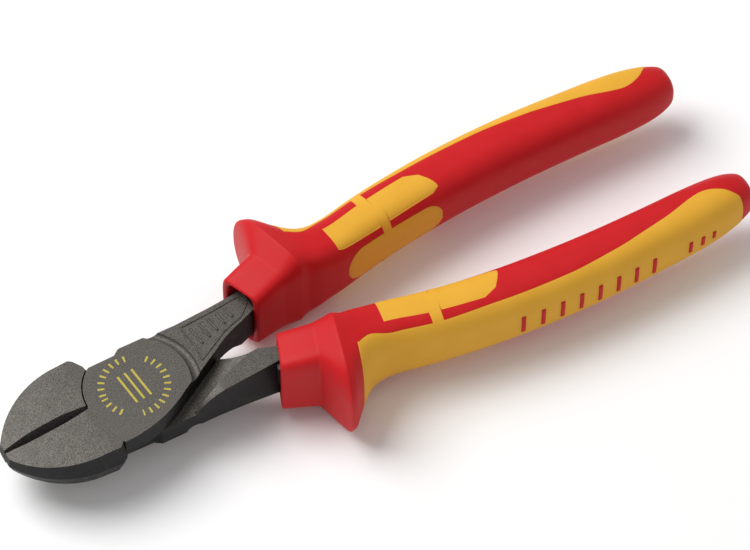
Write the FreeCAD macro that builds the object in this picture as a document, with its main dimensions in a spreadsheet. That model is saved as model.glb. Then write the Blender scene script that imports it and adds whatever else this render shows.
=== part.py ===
import FreeCAD, Part
import Sketcher
import math
import os

# High-leverage diagonal cutter with two-layer insulated handles, in millimetres.
# Both levers are the same forging, one turned over: it lies jaws to -X, handles to +X,
# lap joint level, and the hinge axis along Z. Every piece is drawn about the hinge and the
# middle of the head, then moved to the part's own origin under the middle of the tool.

doc = FreeCAD.newDocument("diagonal_cutter")
sheet = doc.addObject("Spreadsheet::Sheet", "Sizes")
SIZES = {
    "tip_reach": 35.5,          # hinge to the jaw tips
    "handle_reach": 162.5,      # hinge to the handle ends
    "guard_half_height": 14.0,  # the thumb guards are the highest and lowest points
    "head_half": 5.75,          # half the thickness of the joint
    "tip_half": 2.3,            # half the thickness at the jaw tips
    "neck_half": 5.0,           # half the thickness behind the joint
    "joint_radius": 12.5,       # round seam between the joint plate and the other jaw
    "boss_radius": 14.0,        # step behind the joint face
    "lap_gap": 0.05,            # running gap of the lap faces, each side of the middle
    "seam_gap": 0.35,           # gap round the joint plate
    "edge_gap": 0.04,           # each cutting edge to the middle plane
    "pin_radius": 4.5,
    "pin_head_radius": 6.0,
    "pin_top": 4.2,             # the pin stops short of the smooth front face
    "pin_fit": 0.04,            # running clearance of the pin, on the radius
    "upper_draft": 9.0,         # forging draft of the jaw walls that face the front, degrees
    "lower_draft": 20.0,        # and of the front jaw's walls towards the back
        "tang_half_width": 2.9,
    "tang_half_height": 4.0,
    "core_wall": 1.7,           # hard sleeve round the tang
    "mouth_half_width": 4.0,
    "mouth_half_height": 8.6,
    "mouth_depth": 8.0,
    "soft_depth": 1.5,          # thickness of the soft inlay
}
for row, (alias, value) in enumerate(SIZES.items(), start=1):
    sheet.set("A%d" % row, alias)
    sheet.set("B%d" % row, str(value))
    sheet.setAlias("B%d" % row, alias)
doc.recompute()


def size(alias):
    """The value of one cell of the sheet."""
    return float(sheet.get(alias))


def body(name):
    """A new PartDesign body."""
    return doc.addObject("PartDesign::Body", name)


def sketch(owner, name, role="XY_Plane", offset=None):
    """A sketch on one of the body's own origin planes, moved by offset in that plane."""
    plane = [item for item in owner.Origin.OriginFeatures if item.Role == role][0]
    made = owner.newObject("Sketcher::SketchObject", name)
    made.AttachmentSupport = [(plane, "")]
    made.MapMode = "FlatFace"
    if offset is not None:
        made.AttachmentOffset = offset
    return made


def draw(target, start, *steps):
    """A closed outline: each step is the end of a line, or the middle and end of an arc."""
    here = FreeCAD.Vector(start[0], start[1], 0)
    first = here
    for step in steps + (start,):
        if isinstance(step[0], tuple):
            middle = FreeCAD.Vector(step[0][0], step[0][1], 0)
            there = FreeCAD.Vector(step[1][0], step[1][1], 0)
            target.addGeometry(Part.ArcOfCircle(here, middle, there), False)
            here = there
            continue
        there = first if step is start else FreeCAD.Vector(step[0], step[1], 0)
        if (there - here).Length > 1e-6:
            target.addGeometry(Part.LineSegment(here, there), False)
        here = there


def circle(target, alias, extra=""):
    """A circle about the hinge whose radius is bound to a cell of the sheet."""
    target.addGeometry(Part.Circle(FreeCAD.Vector(0, 0, 0), FreeCAD.Vector(0, 0, 1), 5.0), False)
    target.addConstraint(Sketcher.Constraint("Coincident", 0, 3, -1, 1))
    target.addConstraint(Sketcher.Constraint("Radius", 0, 5.0))
    target.setExpression("Constraints[1]", "Sizes." + alias + extra)


def pad(owner, name, profile, up, down=None):
    """A pad above the sketch plane by one expression and below it by another."""
    made = owner.newObject("PartDesign::Pad", name)
    made.Profile = profile
    made.setExpression("Length", up)
    if down is not None:
        made.SideType = "Two sides"
        made.setExpression("Length2", down)
    return made


def pocket(owner, name, profile, upwards=False, both=False, depth=None):
    """A pocket, downwards from the sketch plane unless told otherwise; it must cut something."""
    doc.recompute()
    before = owner.Shape.Volume
    made = owner.newObject("PartDesign::Pocket", name)
    made.Profile = profile
    made.Reversed = upwards
    if both:
        made.SideType = "Symmetric"
    if depth is None:
        made.Type = "ThroughAll"
    else:
        made.setExpression("Length", depth)
    doc.recompute()
    if owner.Shape.Volume > before - 0.01:
        raise ValueError(name + " cuts nothing")
    return made


def at_station(x, y=0.0, tilt=0.0):
    """Where a cross-section stands: x along the tool, y to the side, turned about Z."""
    turn = FreeCAD.Rotation(FreeCAD.Vector(0, 1, 0), tilt)
    return FreeCAD.Placement(FreeCAD.Vector(y, 0, x), turn)


def on_circle(radius, degrees):
    """A plan point at this angle round the hinge."""
    angle = math.radians(degrees)
    return (radius * math.cos(angle), radius * math.sin(angle))


# ---- Lever forging: jaw on the -Y side, joint plate above the middle, tang to the +Y handle ----
TIP_X = -size("tip_reach")
JOINT_R = size("joint_radius")
BOSS_R = size("boss_radius")
HEAD = size("head_half")
NECK = size("neck_half")
TIP = size("tip_half")
LAP = size("lap_gap")
EDGE = size("edge_gap")
FOLD_X = -12.5                    # the jaw faces curve away towards the tip from here
MID_JAW = (-24.0, 4.75)           # where the curve passes
SHOULDER = (-9.3, -14.0)          # back corner of the jaw
NECK_END = 36.0
NECK_OUTER = ((17.0, 11.3), (26.0, 11.8), (NECK_END, 12.7))
NECK_INNER = ((NECK_END, 6.2), (31.5, 4.4))
MID_NECK = (26.8, 2.6)
CROTCH = (22.6, 0.2)
RIDGE_X = 10.6                    # the ridge under the neck starts here
BEVEL_SLOPE = 1.6

# The tang runs inside the handle as a plain flat bar that follows its curve.
TANG_LINE = ((NECK_END - 2.0, 9.1), (43.0, 12.2), (50.0, 13.9), (60.0, 14.6), (72.0, 16.2),
             (84.0, 18.2), (98.0, 19.8), (116.0, 20.5), (136.0, 20.6))


def ribbon(points, half_width):
    """The outline of a bar of even width along a line of points."""
    left, right = [], []
    for index, point in enumerate(points):
        before = points[max(index - 1, 0)]
        after = points[min(index + 1, len(points) - 1)]
        run = math.hypot(after[0] - before[0], after[1] - before[1])
        across = (-(after[1] - before[1]) / run * half_width, (after[0] - before[0]) / run * half_width)
        left.append((point[0] + across[0], point[1] + across[1]))
        right.append((point[0] - across[0], point[1] - across[1]))
    return left + right[::-1]


def face_height(x):
    """Height of the jaw's top face, on the parabola through the fold, the middle and the tip."""
    ends = ((FOLD_X, HEAD), MID_JAW, (TIP_X - 1.0, TIP))
    total = 0.0
    for i, (xi, zi) in enumerate(ends):
        part = zi
        for j, (xj, _) in enumerate(ends):
            if j != i:
                part *= (x - xj) / (xi - xj)
        total += part
    return total


def at_height(z):
    """A sketch offset that lifts an XY sketch to this height."""
    return FreeCAD.Placement(FreeCAD.Vector(0, 0, z), FreeCAD.Rotation())


def lever(prefix, lower_draft):
    """One forging; only the draft under its jaw differs."""
    owner = body(prefix + "_forging")

    def named(word):
        return prefix + "_" + word

    jaw = sketch(owner, named("jaw_outline"))
    draw(jaw, (TIP_X, 3.0), (TIP_X, -2.6), ((-28.5, -10.5), (-15.0, -14.9)), (-10.6, -15.1),
         SHOULDER, (-7.6, -11.3), (-5.0, 3.0))
    block = pad(owner, named("jaw_block"), jaw, "Sizes.head_half", "Sizes.head_half")
    block.setExpression("TaperAngle", "-Sizes.upper_draft")
    block.setExpression("TaperAngle2", "-Sizes." + lower_draft)

    for word, upwards in (("below", False), ("above", True)):
        seat = sketch(owner, named("seat_" + word))
        circle(seat, "joint_radius", " + Sizes.seam_gap")
        pocket(owner, named("seat_pocket_" + word), seat, upwards=upwards)

    edge = sketch(owner, named("cutting_line"))
    draw(edge, (TIP_X - 2, -EDGE), (-2.0, -EDGE), (-2.0, 9.0), (TIP_X - 2, 9.0))
    pocket(owner, named("cutting_plane"), edge, both=True)

    for side, word in ((1, "upper"), (-1, "lower")):
        taper = sketch(owner, named(word + "_taper"), "XZ_Plane")
        draw(taper, (FOLD_X, side * HEAD),
             ((MID_JAW[0], side * MID_JAW[1]), (TIP_X - 1.0, side * TIP)),
             (TIP_X - 1.0, side * 9.0), (FOLD_X, side * 9.0))
        pocket(owner, named(word + "_taper_cut"), taper, both=True)

    plate = sketch(owner, named("plate_outline"), offset=at_height(LAP))
    draw(plate, (-JOINT_R, -EDGE), (on_circle(JOINT_R, 153.0), on_circle(JOINT_R, 127.0)),
         (-0.4, 10.1), (1.4, 11.4), *NECK_OUTER,
         *NECK_INNER, (MID_NECK, CROTCH),
         (9.9, -7.3), ((2.4, -11.2), (-9.2, -13.3)), (-11.6, -10.0), (-13.6, -5.0), (-13.6, -EDGE))
    pad(owner, named("joint_plate"), plate, "Sizes.head_half - Sizes.lap_gap")

    # Behind the joint the neck is full height along its outer edge. Beside that ridge it only
    # rises from the lap plane by a hollow ramp, so that the other lever's plate has room.
    neck = sketch(owner, named("neck_outline"))
    draw(neck, (14.8, 11.3), *NECK_OUTER, *NECK_INNER, (MID_NECK, CROTCH),
         (19.2, 2.2), ((15.9, 4.9), (14.6, 8.6)))
    pad(owner, named("neck_block"), neck, "Sizes.neck_half", "Sizes.neck_half")
    ramp = sketch(owner, named("ramp_outline"), "XZ_Plane")
    draw(ramp, (11.0, LAP), (15.5, LAP), ((24.0, -1.3), (31.5, -4.6)), (33.0, -6.5), (11.0, -6.5))
    pocket(owner, named("ramp"), ramp, both=True)
    ridge = sketch(owner, named("ridge_outline"))
    draw(ridge, (RIDGE_X, 10.7), (RIDGE_X + 0.4, 11.35), *NECK_OUTER, *NECK_INNER, (29.0, 4.6),
         ((23.6, 6.5), (17.5, 9.2)), (13.5, 10.3))
    pad(owner, named("neck_ridge"), ridge, "0.5", "Sizes.neck_half")
    slope = sketch(owner, named("ridge_slope"), "XZ_Plane")
    draw(slope, (RIDGE_X - 0.5, LAP), (RIDGE_X, LAP), ((RIDGE_X + 3.0, -2.9), (RIDGE_X + 8.0, -NECK)),
         (RIDGE_X + 8.0, -6.5), (RIDGE_X - 0.5, -6.5))
    pocket(owner, named("ridge_slope_cut"), slope, both=True)

    # The outer wall of the neck leans in towards the handle.
    leans = []
    for x, top, bottom in ((16.0, 11.45, 11.45), (NECK_END + 0.5, 12.8, 9.6)):
        lean = sketch(owner, named("lean_%d" % len(leans)), "YZ_Plane", at_station(x))
        draw(lean, (top, NECK), (top + 4.0, NECK), (top + 4.0, -6.0), (bottom, -6.0))
        leans.append(lean)
    wall = owner.newObject("PartDesign::SubtractiveLoft", named("neck_wall"))
    wall.Profile = leans[0]
    wall.Sections = leans[1:]
    wall.Ruled = True

    # The joint face stands above the neck, with a hollow round its rear edge.
    recess = sketch(owner, named("recess_outline"), offset=at_height(NECK))
    draw(recess, on_circle(BOSS_R, 57.0), (on_circle(BOSS_R, 13.0), on_circle(BOSS_R, -36.0)),
         (24.0, -14.0), (NECK_END + 2, -2.0), (NECK_END + 2, 16.0), (9.0, 16.0))
    pocket(owner, named("neck_recess"), recess, upwards=True)
    hollow = sketch(owner, named("hollow_profile"), "XZ_Plane")
    draw(hollow, (BOSS_R, HEAD + 0.5), ((BOSS_R + 0.6, NECK - 0.45), (BOSS_R + 2.6, NECK + 0.02)),
         (BOSS_R + 2.6, HEAD + 0.5))
    cove = owner.newObject("PartDesign::Groove", named("hollow"))
    cove.Profile = hollow
    cove.ReferenceAxis = (hollow, ["V_Axis"])
    cove.Type = "TwoAngles"
    cove.Angle = 60
    cove.Angle2 = 40

    # The bevels of the cutting edges: a groove that closes at the tip and at the joint.
    for side, word in ((1, "upper"), (-1, "lower")):
        rings = []
        for x, width in ((-12.7, 0.5), (-19.0, 1.25), (-29.0, 1.15), (TIP_X - 0.2, 0.35)):
            face = face_height(x)
            ring = sketch(owner, named("%s_bevel_%d" % (word, len(rings))), "YZ_Plane", at_station(x))
            draw(ring, (0.4, side * (face + 1.0)),
                 (-width - 1.0 / BEVEL_SLOPE, side * (face + 1.0)),
                 (0.4, side * (face - BEVEL_SLOPE * (width + 0.4))))
            rings.append(ring)
        bevel = owner.newObject("PartDesign::SubtractiveLoft", named(word + "_bevel"))
        bevel.Profile = rings[0]
        bevel.Sections = rings[1:]
        bevel.Ruled = True

    tang = sketch(owner, named("tang_outline"))
    draw(tang, *ribbon(TANG_LINE, size("tang_half_width")))
    pad(owner, named("tang_bar"), tang, "Sizes.tang_half_height", "Sizes.tang_half_height")
    doc.recompute()
    return owner


front_forging = lever("front", "lower_draft")
back_forging = lever("back", "upper_draft")

# ---- Handle: cross-sections from an inner to an outer point of the plan ----
# inner x, inner y, outer x, outer y, half height, inner corner radius, outer corner radius
STATIONS = (
    (36.4, 4.5, 32.0, 15.4, 9.7, 1.2, 1.8),
    (45.0, 6.7, 41.0, 18.8, 11.2, 1.6, 2.2),
    (50.0, 7.0, 43.2, 31.0, 14.0, 2.0, 8.5),
    (52.2, 7.5, 45.1, 30.4, 13.0, 2.4, 8.0),
    (55.6, 7.0, 50.5, 24.6, 11.6, 3.0, 5.5),
    (58.5, 7.2, 55.1, 20.9, 10.9, 3.6, 4.4),
    (62.8, 7.3, 61.3, 20.9, 10.2, 4.2, 4.4),
    (73.0, 9.4, 71.0, 23.5, 9.7, 4.8, 4.8),
    (85.2, 11.0, 83.0, 25.6, 9.4, 5.2, 5.2),
    (98.3, 12.3, 97.3, 27.3, 9.0, 5.4, 5.4),
    (116.0, 13.3, 115.7, 28.0, 8.8, 5.4, 5.4),
    (134.0, 13.4, 134.0, 27.3, 8.6, 5.2, 5.2),
    (147.6, 13.0, 148.2, 26.6, 8.4, 5.0, 5.0),
    (156.8, 13.4, 157.0, 25.0, 7.3, 4.6, 4.6),
    (161.2, 15.1, 161.2, 23.3, 4.9, 3.2, 3.2),
    (162.4, 18.1, 162.4, 20.5, 1.5, 1.0, 1.0),
)
GUARD = 2


def frame_of(row):
    """Middle point, turn about Z in degrees and half width of a cross-section."""
    x_in, y_in, x_out, y_out = row[:4]
    turn = math.degrees(math.atan2(x_in - x_out, y_out - y_in))
    return (x_in + x_out) / 2.0, (y_in + y_out) / 2.0, turn, math.hypot(x_out - x_in, y_out - y_in) / 2.0


def section(owner, name, row, inset=0.0):
    """One rounded cross-section of the handle, drawn smaller all round by inset."""
    x, y, turn, half_width = frame_of(row)
    ring = sketch(owner, name, "YZ_Plane", at_station(x, y, turn))
    wide, top = half_width - inset, row[4] - inset
    near = min(max(row[5] - inset, 0.4), 0.98 * wide)
    far = min(max(row[6] - inset, 0.4), 0.98 * wide)
    bow = 1.0 - math.sqrt(0.5)
    draw(ring, (-wide, -top + near), ((-wide + near * bow, -top + near * bow), (-wide + near, -top)),
         (wide - far, -top), ((wide - far * bow, -top + far * bow), (wide, -top + far)),
         (wide, top - far), ((wide - far * bow, top - far * bow), (wide - far, top)),
         (-wide + near, top), ((-wide + near * bow, top - near * bow), (-wide, top - near)))
    return ring


def loft(owner, name, rings, ruled):
    """A solid through the given cross-sections."""
    made = owner.newObject("PartDesign::AdditiveLoft", name)
    made.Profile = rings[0]
    made.Sections = rings[1:]
    made.Ruled = ruled
    return made


def handle_solid(name, inset=0.0, last=len(STATIONS)):
    """The outer form of the handle, or the same form drawn in by inset: flat facets as far as the
    thumb guard's rim, then one smooth skin."""
    owner = body(name)
    front = [section(owner, "%s_front_%d" % (name, i), STATIONS[i], inset) for i in range(GUARD + 1)]
    loft(owner, name + "_collar", front, True)
    doc.recompute()
    rear = [section(owner, "%s_rear_%d" % (name, i), STATIONS[i], inset)
            for i in range(GUARD, last)]
    loft(owner, name + "_grip", rear, False)
    doc.recompute()
    return owner


outer_form = handle_solid("outer_form")
skin_form = handle_solid("skin_form", size("soft_depth"), len(STATIONS) - 1)

core_form = body("core_form")
core_rings = []
for index, row in enumerate(STATIONS[1:2] + STATIONS[5:13]):
    x, y, turn, _ = frame_of(row)
    reach = size("tang_half_width") + size("core_wall")
    tall = size("tang_half_height") + size("core_wall")
    ring = sketch(core_form, "core_ring_%d" % index, "YZ_Plane", at_station(x, y, turn))
    draw(ring, (-reach, -tall), (reach, -tall), (reach, tall), (-reach, tall))
    core_rings.append(ring)
loft(core_form, "core_loft", core_rings, True)
doc.recompute()

# The mouth of the collar is a plain slot round the neck.
mouth_form = body("mouth_form")
x, y, turn, _ = frame_of(STATIONS[0])
mouth = sketch(mouth_form, "mouth_outline", "YZ_Plane", at_station(x, y, turn))
draw(mouth, *[(a * size("mouth_half_width"), b * size("mouth_half_height"))
              for a, b in ((-1, -1), (1, -1), (1, 1), (-1, 1))])
pad(mouth_form, "mouth_slot", mouth, "Sizes.mouth_depth", "1")

# Plan of the soft inlay: the palm side, and the finger patch with its bridge.
soft_plan = body("soft_plan")
palm = sketch(soft_plan, "palm_outline")
draw(palm, (49.0, 30.0), (51.4, 19.6), (54.5, 17.2), (60.3, 19.0), (72.0, 20.6), (85.9, 22.7),
     ((111.0, 24.2), (138.0, 21.2)), ((148.0, 18.9), (157.0, 22.6)), (158.0, 34.0), (49.0, 34.0))
pad(soft_plan, "palm_prism", palm, "20", "20")
finger = sketch(soft_plan, "finger_outline")
draw(finger, (61.0, 0.0), (60.2, 15.6), (73.4, 18.3), (73.4, 21.5), (75.4, 21.8), (75.4, 18.9),
     (86.0, 20.9), ((90.6, 19.2), (92.2, 15.0)), ((91.4, 9.0), (89.0, 0.0)))
pad(soft_plan, "finger_prism", finger, "20", "20")
doc.recompute()


def boolean(kind, name, base, tool):
    """One boolean of two earlier objects."""
    made = doc.addObject("Part::" + kind, name)
    made.Base = base
    made.Tool = tool
    return made


pin_profile = (
    (0.0, -HEAD), (size("pin_head_radius"), -HEAD), (size("pin_head_radius"), -HEAD + 0.8),
    (size("pin_radius"), -HEAD + 2.3), (size("pin_radius"), size("pin_top")),
    (0.0, size("pin_top")))


def pin_body(name, clearance=0.0):
    """The hinge pin as a turned solid; clearance widens it into the bore that it turns in."""
    owner = body(name)
    outline = sketch(owner, name + "_profile", "XZ_Plane")
    grown = [(radius + (clearance if radius > 0 else 0.0), z) for radius, z in pin_profile]
    draw(outline, *grown)
    turned = owner.newObject("PartDesign::Revolution", name + "_turned")
    turned.Profile = outline
    turned.ReferenceAxis = (outline, ["V_Axis"])
    turned.Angle = 360
    return owner


pin = pin_body("pin_form")
bore = pin_body("bore_form", size("pin_fit"))
doc.recompute()

ring_form = boolean("Cut", "ring_form", outer_form, skin_form)
soft_form = boolean("Common", "soft_form", ring_form, soft_plan)
hollow_form = boolean("Cut", "hollow_form", outer_form, core_form)
shell_form = boolean("Cut", "shell_form", hollow_form, mouth_form)
red_form = boolean("Cut", "red_form", shell_form, soft_form)
sleeve_form = boolean("Cut", "sleeve_form", core_form, mouth_form)

# ---- The finished pieces, moved to the part's origin; the back ones are turned over ----
SHIFT = FreeCAD.Vector((size("tip_reach") - size("handle_reach")) / 2.0, 0, size("guard_half_height"))
AS_DRAWN = FreeCAD.Placement(SHIFT, FreeCAD.Rotation())
TURNED_OVER = FreeCAD.Placement(SHIFT, FreeCAD.Rotation(FreeCAD.Vector(1, 0, 0), 180))


def finished(label, made, place):
    """Name a finished piece and put it where it belongs."""
    made.Label = label
    made.Placement = place
    return made


nothing = doc.addObject("Part::Sphere", "far_away")
nothing.Radius = 0.5
nothing.Placement.Base = FreeCAD.Vector(0, 0, -100)
back_pin_space = doc.addObject("Part::Mirroring", "bore_turned_over")
back_pin_space.Source = bore
back_pin_space.Normal = FreeCAD.Vector(0, 0, 1)

pieces = [
    finished("front_lever", boolean("Cut", "front_cut", front_forging, pin), AS_DRAWN),
    finished("back_lever", boolean("Cut", "back_cut", back_forging, back_pin_space), TURNED_OVER),
    finished("pivot_pin", boolean("Cut", "pin_cut", pin, nothing), AS_DRAWN),
]
for end, forging, place in (("front", front_forging, AS_DRAWN), ("back", back_forging, TURNED_OVER)):
    pieces.append(finished(end + "_handle_core",
                           boolean("Cut", end + "_core_cut", sleeve_form, forging), place))
    pieces.append(finished(end + "_handle_body",
                           boolean("Cut", end + "_body_cut", red_form, forging), place))
    pieces.append(finished(end + "_soft_grip",
                           boolean("Cut", end + "_soft_cut", soft_form, nothing), place))
doc.recompute()

for item in doc.Objects:
    if "Invalid" in item.State or "Error" in item.State:
        raise ValueError("%s failed: %s" % (item.Name, item.State))
os.makedirs("parts", exist_ok=True)
for made in pieces:
    if made.Shape.isNull() or not made.Shape.isValid():
        raise ValueError(made.Label + " is not a valid solid")
    box = made.Shape.BoundBox
    print("%-18s solids %d  volume %8.1f  x %6.1f %6.1f  y %6.1f %6.1f  z %5.1f %5.1f" % (
        made.Label, len(made.Shape.Solids), made.Shape.Volume,
        box.XMin, box.XMax, box.YMin, box.YMax, box.ZMin, box.ZMax))
    made.Shape.exportStep("parts/" + made.Label + ".step")
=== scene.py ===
import bpy
import math
import numpy as np
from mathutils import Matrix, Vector


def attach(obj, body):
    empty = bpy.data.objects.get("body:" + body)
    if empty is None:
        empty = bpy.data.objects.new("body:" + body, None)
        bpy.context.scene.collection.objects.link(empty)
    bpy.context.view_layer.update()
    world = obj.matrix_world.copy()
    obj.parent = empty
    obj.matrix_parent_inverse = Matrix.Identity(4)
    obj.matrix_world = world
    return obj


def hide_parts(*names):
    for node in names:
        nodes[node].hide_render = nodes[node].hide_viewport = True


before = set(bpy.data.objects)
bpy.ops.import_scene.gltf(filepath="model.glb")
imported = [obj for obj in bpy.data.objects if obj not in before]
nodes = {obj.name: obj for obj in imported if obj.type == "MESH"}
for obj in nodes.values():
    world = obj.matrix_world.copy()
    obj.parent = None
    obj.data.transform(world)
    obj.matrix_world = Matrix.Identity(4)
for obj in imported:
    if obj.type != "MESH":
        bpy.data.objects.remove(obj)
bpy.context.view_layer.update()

# ---- Camera ----
# A long lens looks down on the tool from the front left, so the head lies lower left and the
# handles run to the upper right.
MM = 0.001
scene = bpy.context.scene
scene.view_settings.view_transform = "Standard"
azimuth, elevation = math.radians(-29.0), math.radians(55.5)
aim = Vector((4.89 * MM, 3.46 * MM, 14.27 * MM))
distance = 1.113
towards = Vector((math.sin(azimuth) * math.cos(elevation),
                  -math.cos(azimuth) * math.cos(elevation), math.sin(elevation)))
camera_data = bpy.data.cameras.new("camera")
camera_data.lens = 216.2
camera_data.sensor_width = 36.0
camera = bpy.data.objects.new("camera", camera_data)
camera.rotation_mode = "QUATERNION"
camera.rotation_quaternion = towards.to_track_quat("Z", "Y")
camera.location = aim + towards * distance
scene.collection.objects.link(camera)
scene.camera = camera

# ---- Forged levers ----
# Two drop-forged steel levers, one turned over on the other. They are shot-blasted and
# phosphated, which leaves a fine brownish grey grain; the walls get a painted shade, almost black.
PIVOT = Vector((-63.5 * MM, 0.0, 14.0 * MM))
HEAD_HALF = 5.75 * MM


def wire(tree, source, target):
    """Join two sockets of a node tree."""
    tree.links.new(source, target)


def node(tree, kind, x=0, y=0, **settings):
    """A new node of a tree, placed and set up; a setting that names an input fills that input."""
    made = tree.nodes.new(kind)
    made.location = (x, y)
    for key, value in settings.items():
        if hasattr(made, key):
            setattr(made, key, value)
        else:
            made.inputs[key.replace("_", " ")].default_value = value
    return made


def sums(tree, operation, first, second=None, third=None, clamp=False):
    """One Math node; each argument is a number or a socket. Returns its result."""
    made = tree.nodes.new("ShaderNodeMath")
    made.operation = operation
    made.use_clamp = clamp
    for slot, value in enumerate((first, second, third)):
        if value is None:
            continue
        if isinstance(value, (int, float)):
            made.inputs[slot].default_value = value
        else:
            wire(tree, value, made.inputs[slot])
    return made.outputs[0]


def blend(tree, factor, low, high):
    """A colour mix from low to high; each colour is a tuple or a socket."""
    made = tree.nodes.new("ShaderNodeMix")
    made.data_type = "RGBA"
    for slot, value in ((0, factor), (6, low), (7, high)):
        if isinstance(value, (int, float)):
            made.inputs[slot].default_value = value
        elif isinstance(value, tuple):
            made.inputs[slot].default_value = (*value, 1.0)
        else:
            wire(tree, value, made.inputs[slot])
    return made.outputs[2]


def new_group(name, inputs, outputs):
    """An empty shader node group with named inputs and outputs. An input gives its kind and its
    default, an output only its kind."""
    tree = bpy.data.node_groups.new(name, "ShaderNodeTree")
    for label, (kind, default) in inputs.items():
        made = tree.interface.new_socket(label, in_out="INPUT", socket_type="NodeSocket" + kind)
        if default is not None:
            made.default_value = default
    for label, kind in outputs.items():
        tree.interface.new_socket(label, in_out="OUTPUT", socket_type="NodeSocket" + kind)
    return tree, tree.nodes.new("NodeGroupInput"), tree.nodes.new("NodeGroupOutput")


def grain_group():
    """Fine grain: two sizes of noise at a point, as a stretched speckle, a slow blotch and a
    height. The speckle is the fine noise about its middle value, times the contrast."""
    tree, given, out = new_group(
        "fine_grain", {"Point": ("Vector", None), "Grains per metre": ("Float", 3000.0),
                       "Contrast": ("Float", 1.0)},
        {"Speckle": "Float", "Blotch": "Float", "Height": "Float"})
    fine = node(tree, "ShaderNodeTexNoise", Detail=3.0, Roughness=0.65)
    coarse = node(tree, "ShaderNodeTexNoise", Detail=2.0, Roughness=0.5)
    wire(tree, given.outputs["Point"], fine.inputs["Vector"])
    wire(tree, given.outputs["Point"], coarse.inputs["Vector"])
    wire(tree, given.outputs["Grains per metre"], fine.inputs["Scale"])
    wire(tree, sums(tree, "MULTIPLY", given.outputs["Grains per metre"], 0.09),
         coarse.inputs["Scale"])
    centred = sums(tree, "SUBTRACT", fine.outputs["Fac"], 0.5)
    stretched = sums(tree, "MULTIPLY", centred, given.outputs["Contrast"])
    wire(tree, sums(tree, "MULTIPLY_ADD", stretched, 2.4, 0.5, clamp=True), out.inputs["Speckle"])
    wire(tree, coarse.outputs["Fac"], out.inputs["Blotch"])
    wire(tree, fine.outputs["Fac"], out.inputs["Height"])
    return tree


GRAIN = grain_group()


PRINT_RADIUS = 8.1 * MM
PRINT_HALF_WIDTH = 0.85 * MM
PRINT_DEPTH = 0.02 * MM
SPOKE_STEP = math.radians(13.0)
SPOKE_PART = 0.14
RING_GAP = 0.26
BAR_TILT = math.radians(-84.0)
BAR_SPACING = 1.0 * MM
BAR_HALF_WIDTH = 0.28 * MM
BARS_HALF_HEIGHT = 2.7 * MM
BAR_HALF_LENGTH = 4.4 * MM


def print_mask(tree, point):
    """Where the yellow print lies: two arcs of short spokes round the hinge and three bars inside.

    A spoke is where the angle round the hinge, cut into equal steps, is near the middle of its
    step and the radius is inside the ring. A bar is a long thin box turned with the ring.
    """
    split = node(tree, "ShaderNodeSeparateXYZ")
    wire(tree, point, split.inputs[0])
    x = sums(tree, "SUBTRACT", split.outputs["X"], PIVOT.x)
    y = sums(tree, "SUBTRACT", split.outputs["Y"], PIVOT.y)
    up = sums(tree, "GREATER_THAN", split.outputs["Z"], PIVOT.z + HEAD_HALF - PRINT_DEPTH)
    radius = sums(tree, "SQRT", sums(tree, "ADD", sums(tree, "MULTIPLY", x, x),
                                     sums(tree, "MULTIPLY", y, y)))
    turn = sums(tree, "ARCTAN2", y, x)
    in_ring = sums(tree, "LESS_THAN",
                   sums(tree, "ABSOLUTE", sums(tree, "SUBTRACT", radius, PRINT_RADIUS)),
                   PRINT_HALF_WIDTH)
    phase = sums(tree, "PINGPONG", sums(tree, "ADD", turn, 0.4), SPOKE_STEP / 2.0)
    spoke = sums(tree, "LESS_THAN", phase, SPOKE_STEP * SPOKE_PART)
    # The ring is open on two sides, where the arcs begin and end.
    gap = sums(tree, "GREATER_THAN",
               sums(tree, "ABSOLUTE", sums(tree, "SINE", sums(tree, "SUBTRACT", turn, 1.1))),
               RING_GAP)
    ring = sums(tree, "MULTIPLY", sums(tree, "MULTIPLY", in_ring, spoke), gap)
    along = sums(tree, "ADD", sums(tree, "MULTIPLY", x, math.cos(BAR_TILT)),
                 sums(tree, "MULTIPLY", y, math.sin(BAR_TILT)))
    across = sums(tree, "SUBTRACT", sums(tree, "MULTIPLY", y, math.cos(BAR_TILT)),
                  sums(tree, "MULTIPLY", x, math.sin(BAR_TILT)))
    lane = sums(tree, "PINGPONG", sums(tree, "ADD", across, 4.0 * MM), BAR_SPACING)
    bar = sums(tree, "MULTIPLY", sums(tree, "LESS_THAN", lane, BAR_HALF_WIDTH),
               sums(tree, "LESS_THAN", sums(tree, "ABSOLUTE", across), BARS_HALF_HEIGHT))
    bar = sums(tree, "MULTIPLY", bar,
               sums(tree, "LESS_THAN", sums(tree, "ABSOLUTE", along), BAR_HALF_LENGTH))
    return sums(tree, "MULTIPLY", sums(tree, "ADD", ring, bar, clamp=True), up)


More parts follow.
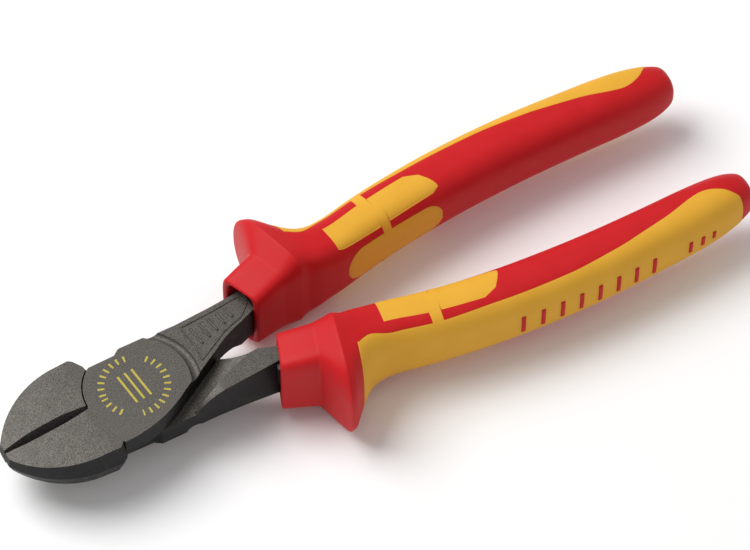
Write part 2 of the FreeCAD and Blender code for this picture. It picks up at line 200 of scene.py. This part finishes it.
def forged_steel(name, printed):
    """Phosphated forging: speckled brown grey on the faces that lie level, with painted shade,
    near black, on the walls. The change runs with how far the surface faces up or down."""
    material = bpy.data.materials.new(name)
    material.use_nodes = True
    tree = material.node_tree
    shader = tree.nodes["Principled BSDF"]
    shader.inputs["Metallic"].default_value = 0.35
    shader.inputs["Specular IOR Level"].default_value = 0.3
    place = node(tree, "ShaderNodeTexCoord", -1400, 0)
    grain = node(tree, "ShaderNodeGroup", -1000, 0, node_tree=GRAIN)
    grain.inputs["Grains per metre"].default_value = 4200.0
    grain.inputs["Contrast"].default_value = 1.9
    wire(tree, place.outputs["Object"], grain.inputs["Point"])
    facing = node(tree, "ShaderNodeNewGeometry", -1400, -300)
    split = node(tree, "ShaderNodeSeparateXYZ", -1200, -300)
    wire(tree, facing.outputs["Normal"], split.inputs[0])
    # How far the surface faces up or down sets where the painted shade goes: walls get it, faces
    # that lie level keep the steel's colour.
    painted_shade_mix = node(tree, "ShaderNodeMapRange", -1000, -300)
    painted_shade_mix.interpolation_type = "SMOOTHSTEP"
    painted_shade_mix.inputs["From Min"].default_value = 0.25
    painted_shade_mix.inputs["From Max"].default_value = 0.9
    wire(tree, sums(tree, "ABSOLUTE", split.outputs["Z"]), painted_shade_mix.inputs["Value"])
    top = blend(tree, grain.outputs["Speckle"], (0.030, 0.027, 0.024), (0.165, 0.150, 0.132))
    stain = sums(tree, "MULTIPLY", grain.outputs["Blotch"], 0.35)
    top = blend(tree, stain, top, (0.075, 0.068, 0.060))
    # Painted shade on the walls: a near black speckle in place of the steel's own colour.
    wall = blend(tree, grain.outputs["Speckle"], (0.004, 0.004, 0.004), (0.017, 0.016, 0.016))
    colour = blend(tree, painted_shade_mix.outputs["Result"], wall, top)
    if printed:
        mask = print_mask(tree, place.outputs["Object"])
        worn = sums(tree, "MULTIPLY", mask,
                    sums(tree, "MULTIPLY_ADD", grain.outputs["Speckle"], 0.5, 0.6, clamp=True))
        colour = blend(tree, worn, colour, (0.50, 0.42, 0.06))
    wire(tree, colour, shader.inputs["Base Color"])
    wire(tree, sums(tree, "MULTIPLY_ADD", grain.outputs["Blotch"], 0.2, 0.42),
         shader.inputs["Roughness"])
    bump = node(tree, "ShaderNodeBump", -300, -500, Strength=0.5, Distance=0.06 * MM)
    wire(tree, grain.outputs["Height"], bump.inputs["Height"])
    wire(tree, bump.outputs["Normal"], shader.inputs["Normal"])
    return material


def finish_node(name, material):
    """Give a CAD node its material."""
    nodes[name].data.materials.clear()
    nodes[name].data.materials.append(material)


finish_node("front_lever", forged_steel("forged_front", True))
finish_node("back_lever", forged_steel("forged_back", False))

# ---- Raised panel on each neck ----
# Each forging carries a shallow raised frame on the outer face of its neck, with a row of plain
# slanting bars inside it. The die leaves them rounded and a little uneven.
NECK_TOP = 5.0
PANEL_RISE = 0.22
PANEL_LINE = np.array(((17.6, 9.9), (25.6, 10.4), (34.6, 11.3), (35.4, 8.6), (32.2, 5.7),
                       (26.8, 4.0), (21.6, 1.0), (18.0, -0.9), (18.4, 4.0)))
PANEL_BARS = np.array([((20.4 + 2.5 * i, 3.2 + 0.85 * i), (19.7 + 2.5 * i, 8.6 + 0.28 * i))
                       for i in range(5)])
FRAME_WIDTH = 0.45
BAR_WIDTH = 0.7
BEAD_STEP = 0.6
# Corners of a bead's section: across, in bead widths, and up, in bead heights.
BEAD_PROFILE = ((-0.5, -0.3), (0.5, -0.3), (0.42, 0.55), (0.18, 1.0), (-0.18, 1.0), (-0.42, 0.55))


def put(name, points, faces):
    """A mesh object from points in millimetres about the hinge and a list of faces."""
    placed = points * MM + np.array(PIVOT)
    mesh = bpy.data.meshes.new(name)
    mesh.from_pydata(placed.tolist(), [], faces)
    mesh.validate()
    mesh.shade_smooth()
    made = bpy.data.objects.new(name, mesh)
    scene.collection.objects.link(made)
    return made


def grid_faces(rows, columns, start=0, wrap=False, flip=False):
    """Four-sided faces of a grid of points that are numbered row by row from start. With wrap the
    last column joins the first, and with flip the corners run the other way round."""
    r, c = np.meshgrid(np.arange(rows - 1), np.arange(columns if wrap else columns - 1),
                       indexing="ij")
    n = (c + 1) % columns
    quads = np.stack([r * columns + c, r * columns + n, (r + 1) * columns + n,
                      (r + 1) * columns + c], -1).reshape(-1, 4) + start
    return (quads[:, ::-1] if flip else quads).tolist()


def gather(parts):
    """Several meshes' points and faces as one."""
    points, faces, start = [], [], 0
    for p, f in parts:
        points.append(p)
        faces += [[i + start for i in face] for face in f]
        start += len(p)
    return np.concatenate(points), faces


def bead(line, width, closed):
    """A rounded bead along a line of plan points: at each point the six corners of a low roof,
    its foot just under the neck's face and its ridge PANEL_RISE above it."""
    before = np.roll(line, 1, axis=0)
    after = np.roll(line, -1, axis=0)
    if not closed:
        before[0], after[-1] = line[0], line[-1]
    way = after - before
    way /= np.hypot(way[:, 0], way[:, 1])[:, None]
    side = np.stack([-way[:, 1], way[:, 0]], -1)
    rings = [np.column_stack([line + side * width * across,
                              np.full(len(line), NECK_TOP + PANEL_RISE * up)])
             for across, up in BEAD_PROFILE]
    points = np.stack(rings, 1).reshape(-1, 3)
    count = len(BEAD_PROFILE)
    if closed:
        faces = grid_faces(len(line) + 1, count, wrap=True, flip=True)
        return points, [[index % len(points) for index in face] for face in faces]
    faces = grid_faces(len(line), count, wrap=True, flip=True)
    faces += [list(range(count)), list(range(len(points) - count, len(points)))[::-1]]
    return points, faces


def dense(line, step, closed):
    """The same line with points about a step apart."""
    ends = np.concatenate([line, line[:1]]) if closed else line
    reach = np.r_[0.0, np.cumsum(np.hypot(*np.diff(ends, axis=0).T))]
    at = np.linspace(0, reach[-1], max(int(reach[-1] / step), 2) + (0 if closed else 1),
                     endpoint=not closed)
    return np.stack([np.interp(at, reach, ends[:, k]) for k in range(2)], -1)


for name, turned, body, steel in (("front_panel", 1, "front_half", "forged_front"),
                                  ("back_panel", -1, "back_half", "forged_back")):
    beads = [bead(dense(PANEL_LINE, BEAD_STEP, True), FRAME_WIDTH, True)]
    beads += [bead(dense(line, BEAD_STEP, False), BAR_WIDTH, False) for line in PANEL_BARS]
    points, faces = gather(beads)
    made = put(name, points * np.array([1.0, turned, turned]), faces)
    made.data.materials.append(bpy.data.materials[steel])
    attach(made, body)

# ---- Hinge pin ----
# A turned steel pin, fixed in the front lever and riveted flush in the countersink at the
# back, where its head is ground and shows fine turned rings.


def turned_steel():
    """Ground rivet head: rings of slightly different roughness round the hinge axis."""
    material = bpy.data.materials.new("turned_pin")
    material.use_nodes = True
    tree = material.node_tree
    shader = tree.nodes["Principled BSDF"]
    shader.inputs["Metallic"].default_value = 0.9
    place = node(tree, "ShaderNodeTexCoord")
    moved = node(tree, "ShaderNodeMapping")
    moved.inputs["Location"].default_value = -PIVOT
    wire(tree, place.outputs["Object"], moved.inputs["Vector"])
    rings = node(tree, "ShaderNodeTexWave", wave_type="RINGS", rings_direction="Z",
                 Scale=900.0, Distortion=1.5, Detail=2.0)
    wire(tree, moved.outputs["Vector"], rings.inputs["Vector"])
    colour = blend(tree, rings.outputs["Fac"], (0.12, 0.115, 0.11), (0.22, 0.21, 0.20))
    wire(tree, colour, shader.inputs["Base Color"])
    wire(tree, sums(tree, "MULTIPLY_ADD", rings.outputs["Fac"], 0.15, 0.32),
         shader.inputs["Roughness"])
    return material


finish_node("pivot_pin", turned_steel())

# ---- Red handle shells ----
# Hard red plastic, one moulding a side: a square collar round the neck, a slanting thumb guard
# and a curved grip that ends in a round nose. The back shell is the front one turned over.
# Cross-sections, each from an inner to an outer point of the plan: inner x, inner y, outer x,
# outer y, half height, squareness of the inner and of the outer side, roundness along the handle.
STATIONS = np.array((
    (36.4, 4.5, 32.0, 15.4, 9.7, 6.5, 5.0, 0.05),
    (45.0, 6.7, 41.0, 18.8, 11.2, 6.5, 5.0, 0.06),
    (50.0, 7.0, 43.2, 31.0, 14.0, 6.0, 2.3, 0.12),
    (52.2, 7.5, 45.1, 30.4, 13.0, 5.5, 2.5, 0.20),
    (55.6, 7.0, 50.5, 24.6, 11.6, 4.4, 2.5, 0.42),
    (58.5, 7.2, 55.1, 20.9, 10.9, 3.6, 2.8, 0.5),
    (62.8, 7.3, 61.3, 20.9, 10.2, 3.1, 2.9, 0.5),
    (73.0, 9.4, 71.0, 23.5, 9.7, 2.9, 2.8, 0.5),
    (85.2, 11.0, 83.0, 25.6, 9.4, 2.7, 2.7, 0.5),
    (98.3, 12.3, 97.3, 27.3, 9.0, 2.7, 2.7, 0.5),
    (116.0, 13.3, 115.7, 28.0, 8.8, 2.7, 2.7, 0.5),
    (134.0, 13.4, 134.0, 27.3, 8.6, 2.7, 2.7, 0.5),
    (147.6, 13.0, 148.2, 26.6, 8.4, 2.6, 2.6, 0.5),
    (156.8, 13.3, 157.0, 25.0, 7.4, 2.5, 2.5, 0.5),
    (162.0, 14.8, 162.0, 23.4, 5.0, 2.4, 2.4, 0.4),
    (162.35, 19.0, 162.35, 19.6, 0.4, 2.2, 2.2, 0.5)))
AROUND = 128
CORNER_STEPS = 14
MOUTH_SQUARE = 7.0


def corner_cut(rows, steps):
    """A smooth run through rows: each row is the middle point of a small parabola that starts and
    ends on the straight lines to its neighbours, at its roundness times their length."""
    out = [rows[0]]
    for index in range(1, len(rows) - 1):
        here = rows[index]
        start = here + (rows[index - 1] - here) * here[7]
        end = here + (rows[index + 1] - here) * here[7]
        part = np.linspace(0.0, 1.0, steps)[:, None]
        out.extend((1 - part) ** 2 * start + 2 * part * (1 - part) * here + part ** 2 * end)
    out.append(rows[-1])
    out = np.array(out)
    keep = np.r_[True, np.abs(np.diff(out, axis=0)).sum(1) > 1e-6]
    return out[keep]


RUN = corner_cut(STATIONS, CORNER_STEPS)


def outline(angle, square):
    """A rounded square of half width 1: the unit circle divided by its own power mean."""
    c, s = np.cos(angle), np.sin(angle)
    size = (np.abs(c) ** square + np.abs(s) ** square) ** (1.0 / square)
    return c / size, s / size


def handle_point(rows, angle, lift=0.0):
    """Points of the handle's skin for rows of section sizes and angles round it, raised by lift.
    Angle 0 faces outwards and a quarter turn faces up."""
    x_in, y_in, x_out, y_out, half, near, far = np.moveaxis(rows[..., :7], -1, 0)
    c, s = outline(angle, np.where(np.cos(angle) > 0, far, near))
    wide = np.hypot(x_out - x_in, y_out - y_in) / 2
    side = (wide + lift) * c / (2 * wide)
    return np.stack([(x_in + x_out) / 2 + (x_out - x_in) * side,
                     (y_in + y_out) / 2 + (y_out - y_in) * side, (half + lift) * s], -1)


MOUTH_HALF = (3.9, 8.6)
MOUTH_DEPTH = 8.0


def mouth_rows():
    """Sections from the floor of the mouth out along its walls and over the collar's rounded rim:
    each is the first section with its own depth below the rim, half width and half height."""
    first = STATIONS[0]
    middle = (first[0:2] + first[2:4]) / 2
    across = (first[2:4] - first[0:2]) / np.hypot(*(first[2:4] - first[0:2]))
    back = np.array([across[1], -across[0]])
    wide = np.hypot(*(first[2:4] - first[0:2])) / 2
    steps = ((MOUTH_DEPTH, 0.01, 0.01), (MOUTH_DEPTH, *MOUTH_HALF), (0.9, *MOUTH_HALF),
             (0.25, MOUTH_HALF[0] + 0.15, MOUTH_HALF[1] + 0.15),
             (0.0, MOUTH_HALF[0] + 0.45, MOUTH_HALF[1] + 0.5),
             (0.0, wide - 0.5, first[4] - 0.6), (0.15, wide - 0.2, first[4] - 0.2),
             (0.55, wide, first[4]))
    rows = []
    for depth, half_width, half_height in steps:
        spot = middle + back * depth
        rows.append([*(spot - across * half_width), *(spot + across * half_width), half_height,
                     MOUTH_SQUARE, MOUTH_SQUARE, 0.5])
    return np.array(rows)


def shell(name, side, body, replaced):
    """The red shell of one handle: rings from the floor of the mouth, out round the collar's rim
    and back along the skin to the nose, closed by a face at each end."""
    angle = np.linspace(0, 2 * np.pi, AROUND, endpoint=False)
    rows = np.concatenate([mouth_rows(), RUN[1:]])
    points = handle_point(rows[:, None, :], angle[None, :]) * np.array([1.0, side, side])
    faces = grid_faces(len(rows), AROUND, wrap=True)
    faces.append(list(range(AROUND))[::-1])
    faces.append([(len(rows) - 1) * AROUND + i for i in range(AROUND)])
    made = put(name, points.reshape(-1, 3), faces)
    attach(made, body)
    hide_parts(replaced)
    return made


def moulded(name, low, high, rough, pits):
    """Moulded plastic: a slow change of tone, faint spark-eroded pits and a soft shine."""
    material = bpy.data.materials.new(name)
    material.use_nodes = True
    tree = material.node_tree
    shader = tree.nodes["Principled BSDF"]
    shader.inputs["Specular IOR Level"].default_value = 0.16
    place = node(tree, "ShaderNodeTexCoord", -1400, 0)
    grain = node(tree, "ShaderNodeGroup", -1000, 0, node_tree=GRAIN)
    grain.inputs["Grains per metre"].default_value = pits
    grain.inputs["Contrast"].default_value = 0.8
    wire(tree, place.outputs["Object"], grain.inputs["Point"])
    wire(tree, blend(tree, grain.outputs["Blotch"], low, high), shader.inputs["Base Color"])
    wire(tree, sums(tree, "MULTIPLY_ADD", grain.outputs["Blotch"], 0.16, rough),
         shader.inputs["Roughness"])
    bump = node(tree, "ShaderNodeBump", -300, -500, Strength=0.12, Distance=0.05 * MM)
    wire(tree, grain.outputs["Height"], bump.inputs["Height"])
    wire(tree, bump.outputs["Normal"], shader.inputs["Normal"])
    return material


RED = moulded("red_plastic", (0.50, 0.009, 0.012), (0.58, 0.013, 0.017), 0.40, 2200.0)
shells = [shell("front_shell", 1, "front_half", "front_handle_body"),
          shell("back_shell", -1, "back_half", "back_handle_body")]
for made in shells:
    made.data.materials.append(RED)

# ---- Hard core sleeves ----
# The tang of each lever sits in a hard red sleeve that the shell is moulded over. It shows only
# as the floor of the collar's mouth.
CORE = moulded("core_plastic", (0.20, 0.006, 0.008), (0.26, 0.009, 0.011), 0.55, 1800.0)
finish_node("front_handle_core", CORE)
finish_node("back_handle_core", CORE)

# ---- Yellow soft inlays ----
# Soft yellow plastic moulded into the shell, almost flush: a long palm side, a finger patch on
# the top and the bottom, and one on the inner side, joined by short bridges between red bars.
YELLOW = moulded("yellow_soft", (0.70, 0.355, 0.030), (0.78, 0.41, 0.042), 0.50, 1500.0)
PROUD = 0.12
ROOT = -0.6


def rows_at(x):
    """Section sizes where the handle's middle line is this far from the hinge."""
    middle = (RUN[:, 0] + RUN[:, 2]) / 2
    return np.stack([np.interp(x, middle, RUN[:, k]) for k in range(8)], -1)


def angle_at(rows, across):
    """The angle on the upper half at which the skin is this far out from the handle's middle
    line, as a part of its half width: +1 is the outer side and -1 the inner side."""
    trial = np.linspace(0, np.pi, 721)
    out = np.empty(len(rows))
    for index, row in enumerate(rows):
        reach = outline(trial, np.where(trial < np.pi / 2, row[6], row[5]))[0]
        out[index] = np.interp(-across[index], -reach, trial)
    return out


def closed_pad(top, under):
    """Points and faces of a closed pad from its top and its underside, which are grids of the
    same size: both grids, and a wall along the loop of their edges."""
    count, columns = top.shape[:2]
    total = count * columns
    points = np.concatenate([top.reshape(-1, 3), under.reshape(-1, 3)])
    faces = grid_faces(count, columns)
    faces += grid_faces(count, columns, total, flip=True)
    loop = ([i * columns for i in range(count)]
            + [(count - 1) * columns + j for j in range(1, columns)]
            + [i * columns + columns - 1 for i in range(count - 2, -1, -1)]
            + [j for j in range(columns - 2, 0, -1)])
    for a, b in zip(loop, loop[1:] + loop[:1]):
        faces.append([b, a, a + total, b + total])
    return points, faces


def raised_pad(rows, angle, lift):
    """A closed pad on the skin: its middle is raised by lift, its rim lies on the skin and its
    underside lies below it, at ROOT."""
    top = handle_point(rows, angle, lift)
    rim = handle_point(rows, angle, 0.0)
    top[[0, -1], :] = rim[[0, -1], :]
    top[:, [0, -1]] = rim[:, [0, -1]]
    return closed_pad(top, handle_point(rows, angle, ROOT))


def patch(rows, low, high, columns, lift=PROUD):
    """A raised pad between two angles for each row, in even steps of angle."""
    part = np.linspace(0, 1, columns)[None, :]
    angle = low[:, None] * (1 - part) + high[:, None] * part
    return raised_pad(rows[:, None, :], angle, lift)


def span(start, end, step, near=()):
    """Even distances from start to end, closer at the ends and beside each place in near."""
    x = np.arange(start, end, step)
    extra = [start, start + 0.08, start + 0.3, end - 0.3, end - 0.08, end]
    for place in near:
        extra += [place - 0.12, place + 0.12]
    return np.unique(np.round(np.concatenate([x, extra]), 3))


# Where along the handle the palm line's edge is known, and how far out it is there, as a part
# of the half width.
PALM_AT = (51.9, 52.6, 54.8, 60.3, 74.0, 86.0, 110.0, 124.0, 138.0, 146.0, 149.5, 153.0, 156.0,
           157.6)
PALM_EDGE = (0.20, 0.28, 0.30, 0.66, 0.64, 0.56, 0.50, 0.36, 0.10, -0.16, -0.20, 0.0, 0.36, 0.86)
OUTER_BRIDGE = (71.6, 74.6)
INNER_BRIDGE = (73.7, 76.2)


def palm():
    """The palm side: between the palm line on the top and its mirror image underneath."""
    x = span(PALM_AT[0], PALM_AT[-1], 0.8)
    line = np.interp(x, PALM_AT, PALM_EDGE)
    kernel = np.ones(5) / 5.0
    line[3:-3] = np.convolve(line, kernel, "same")[3:-3]
    rows = rows_at(x)
    reach = angle_at(rows, line)
    return patch(rows, -reach, reach, 97)


def rounded_ends(x, start, end, radius):
    """0 at both ends and 1 between, rising as a quarter circle over the radius."""
    near = np.minimum(x - start, end - x) / radius
    return np.sqrt(np.clip(1 - (1 - np.clip(near, 0, 1)) ** 2, 0, 1))


def finger(up):
    """The finger patch on the top (up 1) or bottom (-1), with a bridge on each long side."""
    x = span(60.5, 92.0, 0.5, near=OUTER_BRIDGE + INNER_BRIDGE)
    rows = rows_at(x)
    outer = np.interp(x, (60.5, 72.0, 86.0, 89.5, 91.2, 92.0),
                      (0.22, 0.28, 0.30, 0.06, -0.30, -0.55))
    inner = np.interp(x, (60.5, 62.0, 72.0, 90.0, 92.0), (-0.74, -0.78, -0.80, -0.72, -0.62))
    outer = np.where((x > OUTER_BRIDGE[0]) & (x < OUTER_BRIDGE[1]), 0.72, outer)
    low = angle_at(rows, outer)
    high = angle_at(rows, inner)
    high = np.where((x > INNER_BRIDGE[0]) & (x < INNER_BRIDGE[1]), np.radians(152.0), high)
    if up < 0:
        low, high = -high, -low
    return patch(rows, low, high, 25, PROUD - 0.02)


def inner_side():
    """The patch on the inner side, from near the top edge round to near the bottom one."""
    x = span(62.4, 91.5, 0.4)
    rows = rows_at(x)
    reach = np.radians(32.0) * rounded_ends(x, 62.3, 91.6, 5.0)
    return patch(rows, np.pi - reach, np.pi + reach, 41, PROUD - 0.01)


def inlay(name, side, body, replaced):
    """The whole soft inlay of one handle, one moulding in several closed pads."""
    points, faces = gather([palm(), finger(1), finger(-1), inner_side()])
    points = points * np.array([1.0, side, side])
    made = put(name, points, faces)
    made.data.materials.append(YELLOW)
    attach(made, body)
    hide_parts(replaced)


inlay("front_inlay", 1, "front_half", "front_soft_grip")
inlay("back_inlay", -1, "back_half", "back_soft_grip")

# ---- Raised red ribs ----
# The shell shows through the palm side as a row of slanting ribs that keep the hand from
# slipping, long ones first and three short ones near the end.
RIB_ROWS = 7
RIB_COLUMNS = 25
RIB_RISE = 0.3
PALM_HALF_HEIGHT = 8.8


def rib(x, length, width, slant):
    """One rib on the outer side: a short band of the skin that leans by slant over its height."""
    part = np.linspace(-1, 1, RIB_COLUMNS)
    rows = rows_at(np.linspace(x - width / 2, x + width / 2, RIB_ROWS))
    half = length / 2 / PALM_HALF_HEIGHT
    angle = np.broadcast_to(part * half, (RIB_ROWS, RIB_COLUMNS))
    leaned = rows[:, None, :].repeat(RIB_COLUMNS, axis=1)
    leaned[..., 0] += part[None, :] * slant
    return raised_pad(leaned, angle, PROUD + RIB_RISE)


# Each rib: distance from the hinge, length, width and slant.
RIBS = [(x, 6.0, 1.3, 1.6) for x in np.arange(94.0, 131.0, 5.2)]
RIBS += [(141.0, 4.2, 1.2, 1.6), (144.6, 3.4, 1.2, 1.4), (148.0, 2.6, 1.1, 1.1)]
for name, side, body in (("front_ribs", 1, "front_half"), ("back_ribs", -1, "back_half")):
    points, faces = gather([rib(*sizes) for sizes in RIBS])
    made = put(name, points * np.array([1.0, side, side]), faces)
    made.data.materials.append(RED)
    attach(made, body)

# ---- Floor and light ----
# A plain white sheet, a broad soft light high on the left and a weaker one from the right.
FLOOR_HALF = 4.0
floor_mesh = bpy.data.meshes.new("floor")
floor_mesh.from_pydata([(-FLOOR_HALF, -FLOOR_HALF, 0), (FLOOR_HALF, -FLOOR_HALF, 0),
                        (FLOOR_HALF, FLOOR_HALF, 0), (-FLOOR_HALF, FLOOR_HALF, 0)],
                       [], [(0, 1, 2, 3)])
floor = bpy.data.objects.new("floor", floor_mesh)
scene.collection.objects.link(floor)
paper = bpy.data.materials.new("white_paper")
paper.use_nodes = True
sheen = paper.node_tree.nodes["Principled BSDF"]
sheen.inputs["Base Color"].default_value = (0.93, 0.93, 0.93, 1)
sheen.inputs["Roughness"].default_value = 0.9
floor.data.materials.append(paper)


def soft_light(name, place, aim_at, size, power):
    """A square area light that faces a point."""
    data = bpy.data.lights.new(name, "AREA")
    data.size = size
    data.energy = power
    made = bpy.data.objects.new(name, data)
    made.location = place
    made.rotation_mode = "QUATERNION"
    made.rotation_quaternion = (Vector(place) - Vector(aim_at)).to_track_quat("Z", "Y")
    scene.collection.objects.link(made)


soft_light("key", (-0.35, 0.45, 0.9), (0, 0, 0), 0.7, 10.5)
soft_light("fill", (0.7, -0.6, 0.7), (0, 0, 0), 0.9, 0.5)
world = bpy.data.worlds.new("studio")
world.use_nodes = True
world.node_tree.nodes["Background"].inputs["Color"].default_value = (1, 1, 1, 1)
world.node_tree.nodes["Background"].inputs["Strength"].default_value = 0.45
scene.world = world
